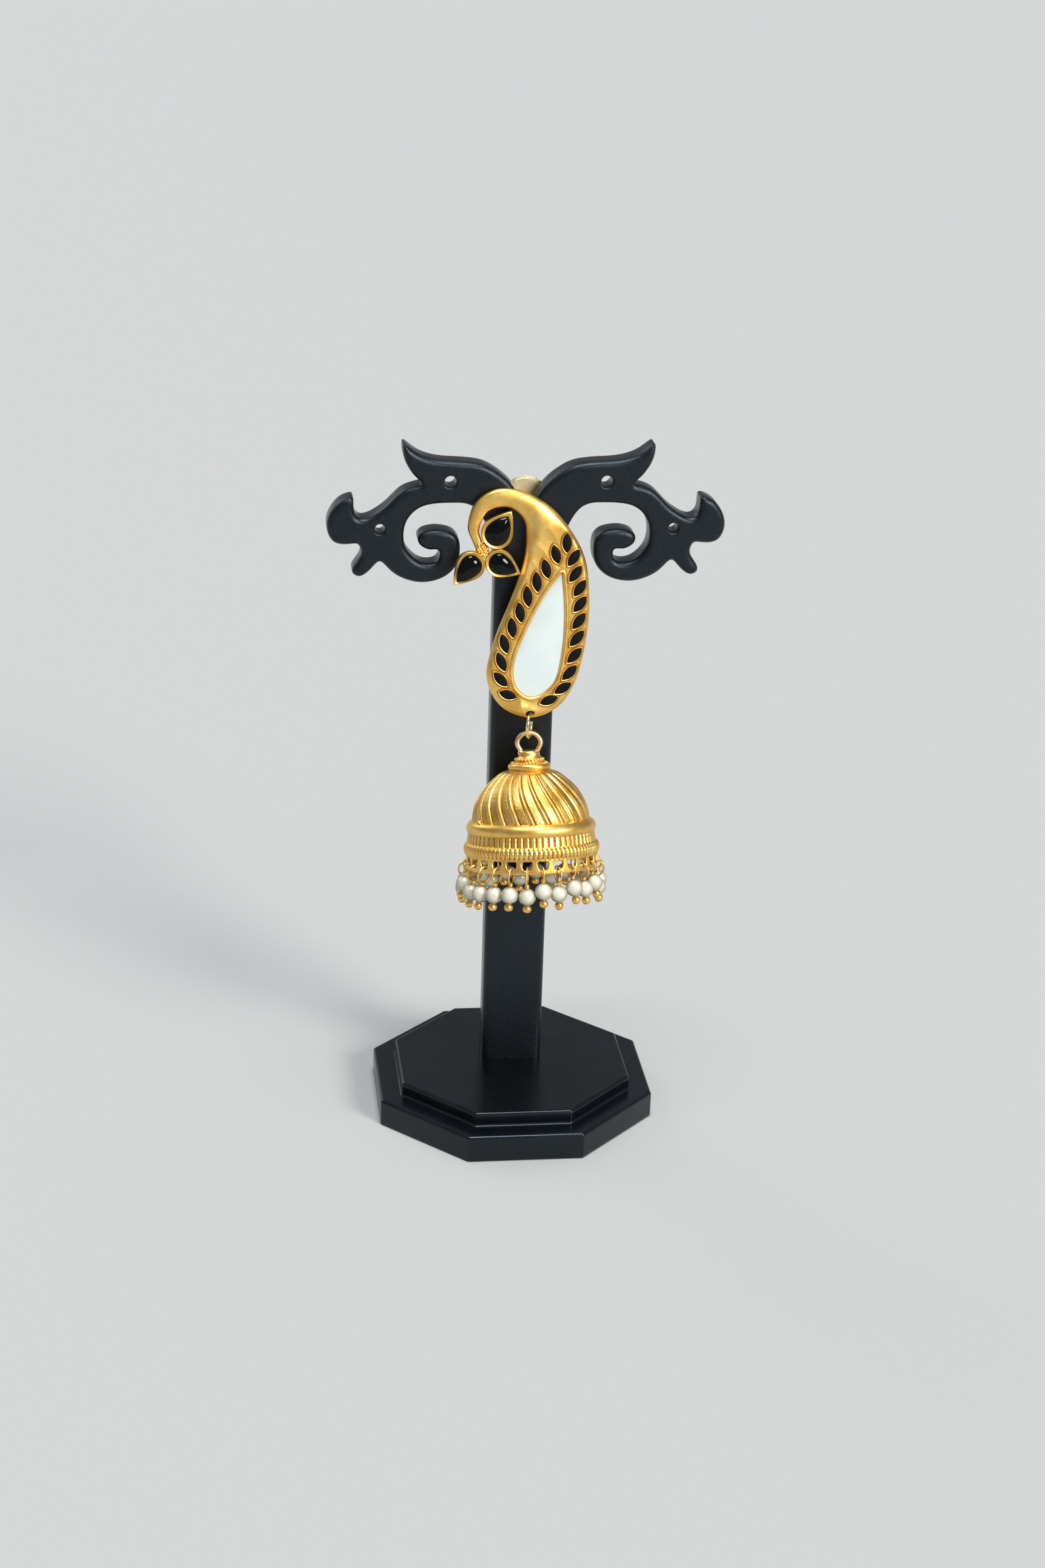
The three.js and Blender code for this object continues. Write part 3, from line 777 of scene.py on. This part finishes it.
# ---- Clutch ----
# Radius, height and share of the scalloped notch.
CLUTCH_ROWS = [
    (0.5, -9.1, 0), (4.0, -9.1, 0), (4.6, -9.1, 0.4), (5.1, -9.05, 1), (5.2, -8.9, 1), (5.2, -8.6, 1),
    (5.1, -8.48, 1), (4.75, -8.45, 0.3), (4.5, -8.45, 0), (4.42, -8.36, 0), (4.0, -8.34, 0), (0.5, -8.34, 0),
]
clutch = Build()
SCALLOPS = 24
turn = np.arange(SCALLOPS * 8) * TAU / (SCALLOPS * 8)
scallop = 0.32 * (1 - abs(np.cos(turn * SCALLOPS / 2))) ** 1.3
rows = []
for radius, height, notch in CLUTCH_ROWS:
    size = radius - notch * scallop
    rows.append(np.stack([size * np.cos(turn), size * np.sin(turn), np.full(len(turn), height)], 1))
points, faces = capped(np.array(rows))
clutch.add(in_peacock(points + EAR_POST), faces)
barrel = [(0.6, -11.5), (1.45, -11.5), (1.7, -11.3), (1.7, -11.0), (1.5, -10.8), (1.5, -9.7),
          (1.7, -9.5), (1.9, -9.1), (0.6, -9.05)]
points, faces = revolve(barrel, 28)
clutch.add(in_peacock(points + EAR_POST), faces)
clutch.piece("clutch_disc", "root", "pale_brass", BRASS, ["clutch"], sharp=40)

# ---- Jump ring ----
RING_RADIUS, RING_WIRE = 2.9, 0.36
turns = np.linspace(30, 362, 73) * RAD
ring_path = np.stack([0 * turns, RING_RADIUS * np.cos(turns), RING_RADIUS * np.sin(turns)], 1)
ring_frame = turned_frame((0.57, -9.45, 101.57), Matrix.Rotation(-16 * RAD, 3, "Z"))
wires = np.full(len(turns), RING_WIRE)
wires[[0, -1]] = 0.8 * RING_WIRE
ring = Build()
ring.place(ring_frame, tube(ring_path, wires, 14))
ring.piece("jump_ring_wire", "ring", "pale_brass", BRIGHT_BRASS, ["jump_ring"], sharp=50)

# ---- Bell: dome, roll and bands ----
def lathe(radius, heights, columns, inner, wear):
    """A closed ring of bell wall: outside from radius(turn, below), inside at inner(below)."""
    turn = np.arange(columns) * TAU / columns
    rows, values = [], []
    for below in heights:
        size = np.broadcast_to(radius(turn, below), columns)
        rows.append(np.stack([size * np.sin(turn), -size * np.cos(turn), np.full(columns, -below)], 1))
        values.append(np.broadcast_to(wear(turn, below), columns))
    for below in (heights[-1], (heights[0] + heights[-1]) / 2, heights[0]):
        size = inner(below)
        rows.append(np.stack([size * np.sin(turn), -size * np.cos(turn), np.full(columns, -below)], 1))
        values.append(np.ones(columns))
    grid = np.array(rows)
    faces = grid_faces(len(rows), columns, closed_rows=True)
    return grid.reshape(-1, 3), faces, np.array(values).reshape(-1)


def curve_of(points):
    """Radius at a height, on a smooth curve through [radius, below] points."""
    dense = np.concatenate([smooth_run(points, 12), [points[-1]]])
    return lambda below: np.interp(below, dense[:, 1], dense[:, 0])


DOME = curve_of([[4.6, 6.2], [6.9, 7.3], [10.3, 10.3], [12.55, 13.7], [13.4, 16.8], [13.45, 18.2]])
FLUTES, DOME_TOP, DOME_FOOT, TWIST = 24, 6.25, 18.1, 20 * RAD
RIB_END = 0.42  # share of a flute taken by its rib
DOME_COLUMNS, DOME_ROWS = 720, 124
grit = np.random.default_rng(11).uniform(-0.5, 0.5, (DOME_ROWS, DOME_COLUMNS))
fine = np.linspace(DOME_TOP, DOME_FOOT, 400)
travel = np.concatenate([[0], np.cumsum(np.hypot(np.diff(DOME(fine)), np.diff(fine)))])
dome_heights = np.interp(np.linspace(0, travel[-1], DOME_ROWS), travel, fine)


def flute_groove(phase):
    return np.exp(-(((phase - RIB_END - 0.01) / 0.04) ** 2))


def flute(turn, below):
    """Height share and phase of the fluting: a rib, a sharp furrow, then a stippled valley."""
    groove_turn = -3 * RAD - BELL_TURN - TWIST * (17.4 - below) / 10.2
    phase = ((turn - groove_turn) / (TAU / FLUTES) + RIB_END) % 1
    rib = np.sin(np.clip(phase / RIB_END, 0, 1) ** 1.5 * math.pi) ** 0.75
    valley = np.where(phase > RIB_END, 0.5 - 0.45 * (phase - RIB_END), 0.15)
    return np.maximum(rib, valley) - 0.6 * flute_groove(phase), phase


def dome_radius(turn, below):
    height, phase = flute(turn, below)
    row = int(np.argmin(abs(dome_heights - below)))
    speck = grit[row] * np.where(phase > RIB_END + 0.06, 0.075, 0.015)
    fade = smoothstep(below, DOME_TOP, DOME_TOP + 1.2)
    return DOME(below) - 0.22 + fade * (0.42 * height + speck)


# Painted shade: the stippled valleys are a little darker than the ribs, and the furrow beside each rib is
# much darker.
def dome_wear(turn, below):
    phase = flute(turn, below)[1]
    return np.where(phase < RIB_END, 1.0, 0.86) - 0.65 * flute_groove(phase)


def dome_stipple(turn, below):
    return np.where(flute(turn, below)[1] > RIB_END + 0.04, 1.0, 0.3)


turned_bell = np.array(Matrix.Rotation(BELL_TURN, 3, "Z"))


def on_bell(points):
    return in_bell(points @ turned_bell.T)


def add_ring(build, *made, stipple=0.3):
    points, faces, wear = lathe(*made)
    build.add(on_bell(points), faces, wear, stipple)


dome = Build()
dome_turn = np.arange(DOME_COLUMNS) * TAU / DOME_COLUMNS
dome_grain = np.concatenate([[dome_stipple(dome_turn, below) for below in dome_heights],
                             np.full((3, DOME_COLUMNS), 0.3)]).reshape(-1)
add_ring(dome, dome_radius, dome_heights, DOME_COLUMNS, lambda below: DOME(below) - 0.9, dome_wear,
         stipple=dome_grain)
dome.piece("bell_dome", "drop", "gold", GOLD, ["bell"], sharp=80)

bands = Build()
ROLL = [(13.0, 17.75), (13.6, 17.8), (14.25, 18.05), (14.8, 18.55), (15.08, 19.2), (15.12, 19.8),
        (14.98, 20.4), (14.65, 20.9), (14.2, 21.15), (13.9, 21.2)]
roll = np.concatenate([smooth_run(ROLL, 3), [ROLL[-1]]])
roll_curve = [(r, -below) for r, below in roll] + [(13.0, -20.8), (12.7, -18.2)]
points, faces = revolve(roll_curve, 160, closed=True)
# The colour darkens towards the underside of the roll.
bands.add(on_bell(points), faces, wear=0.72 + 0.28 * smoothstep(points[:, 2], -21.0, -20.0),
          stipple=0.55)

# A crumb of solder at the dome's foot.
points, faces = ball((0, 0, 0), 0.62, 10, 14)
bands.add(on_bell(points + (-13.0, -5.3, -17.75)), faces)

# Ribs on the upper, straight band and on the lower, bulging one.
BAND_1, BAND_2 = 64, 88


def band_1_radius(turn, below):
    rib = smoothstep(abs(np.sin(turn * BAND_1 / 2)), 0.15, 0.6)
    knot = np.exp(-(((below - 21.35) / 0.14) ** 2)) * (1 - rib)
    return 14.42 + 0.13 * (below - 20.6) + 0.3 * rib + 0.2 * knot


# Painted shade: the gaps between the ribs are darker than the ribs.
def band_1_wear(turn, _):
    return 0.2 + 0.8 * smoothstep(abs(np.sin(turn * BAND_1 / 2)), 0.05, 0.45)


BULGE = curve_of([[14.7, 22.85], [15.15, 23.1], [15.55, 23.6], [15.7, 24.3], [15.62, 25.0], [15.42, 25.6],
                  [15.2, 26.0]])


def band_2_rib(turn, below):
    phase = (turn * BAND_2 / TAU) % 1
    off = abs(phase - 0.5) * 2
    width = 0.95 * math.sqrt(max(0.0, 1 - max(0.0, (below - 24.7) / 1.2) ** 2)) + 0.02
    rib = np.sqrt(np.clip(1 - (off / width) ** 2, 0, 1))
    bead = smoothstep(off, 0.6, 0.95) * np.clip(np.cos((below - 23.2) * TAU / 0.6), 0, 1)
    return rib, bead * (1 - smoothstep(below, 24.9, 25.2))


def band_2_radius(turn, below):
    rib, bead = band_2_rib(turn, below)
    return BULGE(below) - 0.2 + 0.34 * rib + 0.2 * bead


# Painted shade: the hollows between the ribs and beads are darker than the ribs.
def band_2_wear(turn, below):
    rib, bead = band_2_rib(turn, below)
    return 0.2 + 0.8 * np.clip(rib * 1.6 + bead * 0.7, 0, 1)


add_ring(bands, band_1_radius, np.linspace(20.6, 23.2, 14), BAND_1 * 10, lambda below: 13.6, band_1_wear)
add_ring(bands, band_2_radius, np.linspace(22.9, 26.0, 26), BAND_2 * 10, lambda below: 14.3, band_2_wear)
bands.piece("bell_bands", "drop", "gold", GOLD, sharp=80)

# ---- Bell: rim band with a window for each dangle ----
DANGLES = 26
BAND_TOP, BAND_FOOT, WINDOW_TOP, SILL = 25.5, 29.15, 26.15, 28.2
WALL_OUT, WALL_IN, ROUND = 15.3, 14.45, 0.26
sector = TAU / DANGLES


def window_loop(count):
    """Half of the window's edge on the right side, top middle to sill middle, as [arc mm, below]."""
    path = [(0, WINDOW_TOP), (0.95, WINDOW_TOP), (1.17, WINDOW_TOP + 0.1), (1.22, WINDOW_TOP + 0.35),
            (1.16, WINDOW_TOP + 1.0), (0.92, WINDOW_TOP + 1.6), (0.5, SILL - 0.1), (0, SILL)]
    path = np.concatenate([smooth_run(path, 6), [path[-1]]])
    along = np.concatenate([[0], np.cumsum(np.linalg.norm(np.diff(path, axis=0), axis=1))])
    at = np.linspace(0, along[-1], count)
    return np.stack([np.interp(at, along, path[:, 0]), np.interp(at, along, path[:, 1])], 1)


def sector_edge(count):
    """The matching points on the sector's outer edge: along the top, down the side, along the foot."""
    side = sector / 2 * WALL_OUT
    corners = np.array([(0, BAND_TOP), (side, BAND_TOP), (side, BAND_FOOT), (0, BAND_FOOT)])
    shares = [count // 4, count - 1 - 2 * (count // 4), count // 4]
    found = [corners[0]]
    for a, b, steps in zip(corners, corners[1:], shares):
        found += [a + (b - a) * k / steps for k in range(1, steps + 1)]
    return np.array(found)


HALF = 21
right_hole, right_edge = window_loop(HALF), sector_edge(HALF)
hole = np.concatenate([right_hole, right_hole[1:-1][::-1] * [-1, 1]])
edge = np.concatenate([right_edge, right_edge[1:-1][::-1] * [-1, 1]])
rings = [0.0, 0.04, 0.1, 0.2, 0.35, 0.55, 0.78, 0.9, 1.0]
band = Build()
for i in range(DANGLES):
    outside, inside_wall = [], []
    for share in rings:
        at = hole + (edge - hole) * share
        gap = np.linalg.norm((edge - hole) * share, axis=1)
        fall = rounding(gap, ROUND) + rounding(np.clip(BAND_FOOT - at[:, 1], 0, 9), ROUND)
        for wall, sign, store in ((WALL_OUT, -1, outside), (WALL_IN, 1, inside_wall)):
            size = wall + sign * np.clip(fall, 0, 0.4)
            turn = at[:, 0] / WALL_OUT + i * sector
            store.append(np.stack([size * np.sin(turn), -size * np.cos(turn), -at[:, 1]], 1))
    grid = np.array(outside[::-1] + inside_wall)
    rows, columns = grid.shape[:2]
    band.add(on_bell(grid.reshape(-1, 3)), grid_faces(rows, columns))
    bottom = [j for j in range(columns) if edge[j, 1] > BAND_FOOT - 1e-6]
    bottom.sort(key=lambda j: edge[j, 0])
    last = (rows - 1) * columns
    start = band.count - rows * columns
    for a, b in zip(bottom, bottom[1:]):
        band.faces.append([start + a, start + last + a, start + last + b, start + b])
    top = sorted((j for j in range(columns) if edge[j, 1] < BAND_TOP + 1e-6), key=lambda j: edge[j, 0])
    for a, b in zip(top, top[1:]):
        band.faces.append([start + b, start + last + b, start + last + a, start + a])
band_piece = band.piece("bell_rim", "drop", "gold", GOLD, sharp=50)
welded = bmesh.new()
welded.from_mesh(band_piece.data)
bmesh.ops.remove_doubles(welded, verts=welded.verts, dist=0.01 * MM)
bmesh.ops.recalc_face_normals(welded, faces=welded.faces)
welded.to_mesh(band_piece.data)
welded.free()
band_piece.data.shade_smooth()
band_piece.data.set_sharp_from_angle(angle=50 * RAD)

# Plain wall behind the ornament, painted dark as the shade inside the bell.
LINING = [(4.0, 6.6), (6.4, 7.6), (9.7, 10.6), (12.0, 13.9), (12.85, 16.9), (13.2, 18.4), (14.0, 20.4),
          (14.6, 23), (15.0, 24.3), (14.9, 25.7), (14.5, 25.7), (14.3, 24.5), (14.0, 22), (13.9, 19.6),
          (12.5, 17.6), (11.7, 13.8), (9.3, 10.8), (5.5, 7.8), (3.0, 7.3)]
lining = Build()
lining.place(on_bell, revolve([(r, -below) for r, below in LINING], 120), wear=0.1)

# ---- Bell: crown with its loop ----
CROWN = [(0.3, 1.9), (1.9, 1.9), (2.3, 2.15), (2.45, 2.6), (2.5, 3.2), (2.75, 3.45), (3.05, 3.6),
         (3.2, 3.9), (3.15, 4.3), (3.35, 4.55), (4.1, 4.75), (4.75, 5.0), (5.02, 5.4), (5.0, 5.9),
         (4.75, 6.3), (4.3, 6.6), (1.0, 6.9)]
crown = Build()
crown.place(on_bell, revolve([(r, -below) for r, below in CROWN], 72))
# Rows of beads: count, shift in pitches, distance from the axis, height, radius of a bead.
for count, shift, reach, height, radius in ((26, 0, 3.2, -3.95, 0.36), (34, 0.4, 4.1, -4.82, 0.3)):
    for i in range(count):
        turn = TAU * (i + shift) / count
        crown.place(on_bell, ball((reach * math.sin(turn), -reach * math.cos(turn), height), radius, 6, 8))
crown.piece("bell_crown", "drop", "gold", GOLD, sharp=50)
crown_loop = Build()
LOOP_WIRE = 0.54
LOOP = [(0, 2.22), (1.45, 1.85), (2.5, 0.75), (2.72, -0.35), (2.2, -1.5), (1.5, -2.4), (0, -2.75),
        (-1.5, -2.4), (-2.2, -1.5), (-2.72, -0.35), (-2.5, 0.75), (-1.45, 1.85)]
wrapped = np.array([LOOP[-1], *LOOP, LOOP[0], LOOP[1]], float)
loop_path = smooth_run(wrapped, 6)[6:-6]
upright_loop = np.column_stack([loop_path[:, 0], 0 * loop_path[:, 0], loop_path[:, 1]])
crown_loop.place(in_bell, tube(upright_loop, LOOP_WIRE, 14, closed=True))
crown_loop.place(in_bell, ball((-2.0, -0.35, -2.45), 0.75, 10, 14))
crown_loop.piece("crown_loop", "drop", "gold", ROSY_GOLD, sharp=50)
lining.piece("bell_lining", "drop", "gold", GOLD, sharp=60)

# ---- Pearls on their head pins ----
# How much shorter than the longest each dangle hangs, from the front and on to the right.
SHORTER = [1.4, 0.5, 1.6, 0.9, 1.7, 0.3, 1.5, 0.2, 1.6, 0.2, 1.7, 0.1, 1.7, 0.0, 1.7, 0.1, 1.7, 0.2,
           1.5, 0.3, 1.6, 0.2, 0.3, 0.4, 0.6, 0.1]
HANG, EYE, WIRE, PEARL_RADIUS, COLLAR_FOOT = 6.25, 2.12, 0.22, 2.0, 2.02
WALL_MIDDLE = 14.9


def pearl_points():
    rows = 18
    profile = []
    for i in range(rows + 1):
        turn = 13 * RAD + (math.pi - 26 * RAD) * i / rows
        profile.append((PEARL_RADIUS * math.sin(turn), PEARL_RADIUS * math.cos(turn)))
    profile.append((0.3, -PEARL_RADIUS + 0.25))
    profile.insert(0, (0.3, PEARL_RADIUS - 0.25))
    return revolve(profile, 28)


pearl_mesh = pearl_points()
for i, shorter in enumerate(SHORTER):
    number = f"{i + 1:02d}"
    low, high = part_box(f"pearl_{number}")
    middle = np.array((low + high) / 2) / MM
    turn = BELL_TURN + i * sector
    outward_local = np.array([math.sin(turn), -math.cos(turn), 0])
    sill = in_bell(outward_local * WALL_MIDDLE + (0, 0, -SILL))
    outward = np.array(BELL_AXES) @ outward_local
    up = sill - middle
    up /= np.linalg.norm(up)
    side = np.cross(outward, up)
    side /= np.linalg.norm(side)
    dangle = turned_frame(middle, np.stack([side, np.cross(up, side), up], 1))
    eye = EYE - shorter / 2
    eye_drop = math.sqrt((eye - WIRE - 0.12) ** 2 - 0.36) - 0.3
    eye_middle = HANG - shorter - eye_drop

    pearl = Build()
    pearl.add(dangle(pearl_mesh[0]), pearl_mesh[1])
    pearl.piece(f"fringe_pearl_{number}", "drop", "pearl", PEARL, [f"pearl_{number}"], sharp=60)

    pin = Build()
    top = eye_middle - eye
    pin.place(dangle, tube([(0, 0, -2.6), (0, 0, 0), (0, 0, top + 0.1)], 0.2, 10))
    pin.place(dangle, ball((0, 0, -2.84), 1.0, 12, 20))
    turns = np.linspace(0, TAU, 41)[:-1]
    ring_points = np.stack([0 * turns, eye * np.sin(turns), eye_middle - eye * np.cos(turns)], 1)
    pin.place(dangle, tube(ring_points, WIRE, 8, closed=True))
    wraps = 2.4
    turns = np.linspace(0, wraps * TAU, 40)
    rise = COLLAR_FOOT + 0.12 + (top - COLLAR_FOOT - 0.1) * turns / turns[-1]
    helix = np.stack([0.38 * np.cos(turns + i), 0.38 * np.sin(turns + i), rise], 1)
    pin.place(dangle, tube(helix, 0.19, 7))
    pin.piece(f"fringe_pin_{number}", "drop", "gold", GOLD, [f"headpin_{number}"], sharp=50)

# ---- Camera, floor and light ----
AZIMUTH, ELEVATION, ROLL_ANGLE, DISTANCE = -7.525 * RAD, 21.854 * RAD, 1.866 * RAD, 610.982
LOOK_AT = np.array([0.686, 0, 83.141])
back = np.array([math.sin(AZIMUTH) * math.cos(ELEVATION), -math.cos(AZIMUTH) * math.cos(ELEVATION),
                 math.sin(ELEVATION)])
right = np.array([math.cos(AZIMUTH), math.sin(AZIMUTH), 0])
upward = np.cross(back, right)
camera_x = right * math.cos(ROLL_ANGLE) + upward * math.sin(ROLL_ANGLE)
camera_y = -right * math.sin(ROLL_ANGLE) + upward * math.cos(ROLL_ANGLE)
camera_data = bpy.data.cameras.new("camera")
camera_data.sensor_fit = "VERTICAL"
camera_data.sensor_height = 36
camera_data.lens = 59.02
camera_data.clip_start = 0.01
camera_data.clip_end = 50
camera = bpy.data.objects.new("camera", camera_data)
bpy.context.scene.collection.objects.link(camera)
place = Matrix(np.stack([camera_x, camera_y, back], 1)).to_4x4()
place.translation = Vector((LOOK_AT + back * DISTANCE) * MM)
camera.matrix_world = place
bpy.context.scene.camera = camera

FLOOR_HALF_WIDTH = 12  # metres
floor_mesh = bpy.data.meshes.new("floor")
reach = FLOOR_HALF_WIDTH
floor_mesh.from_pydata([(-reach, -reach, 0), (reach, -reach, 0), (reach, reach, 0), (-reach, reach, 0)],
                       [], [(0, 1, 2, 3)])
floor_shader = Shader("pale_floor", Roughness=0.9, Base_Color=(0.41, 0.41, 0.405, 1))
floor_mesh.materials.append(floor_shader.material)
floor = bpy.data.objects.new("floor", floor_mesh)
bpy.context.scene.collection.objects.link(floor)

world = bpy.data.worlds.new("studio")
world.use_nodes = True
world.node_tree.nodes["Background"].inputs["Color"].default_value = (0.9, 0.95, 1.0, 1)
world.node_tree.nodes["Background"].inputs["Strength"].default_value = 0.28
bpy.context.scene.world = world


def soft_light(name, direction, width, strength, color):
    """A far, wide light that shines along a direction; width is its breadth in degrees."""
    data = bpy.data.lights.new(name, "SUN")
    data.angle = width * RAD
    data.energy = strength
    data.color = color
    light = bpy.data.objects.new(name, data)
    bpy.context.scene.collection.objects.link(light)
    light.rotation_euler = Vector(direction).to_track_quat("-Z", "Y").to_euler()


soft_light("top", (0.0, 0.12, -1.0), 24, 2.8, (0.95, 0.98, 1))
soft_light("key", (-0.75, 0.95, -0.64), 20, 2.9, (1, 0.98, 0.95))
soft_light("back", (0.7, -0.9, -0.6), 30, 0.5, (0.92, 0.96, 1))
bpy.context.scene.view_settings.view_transform = "Standard"
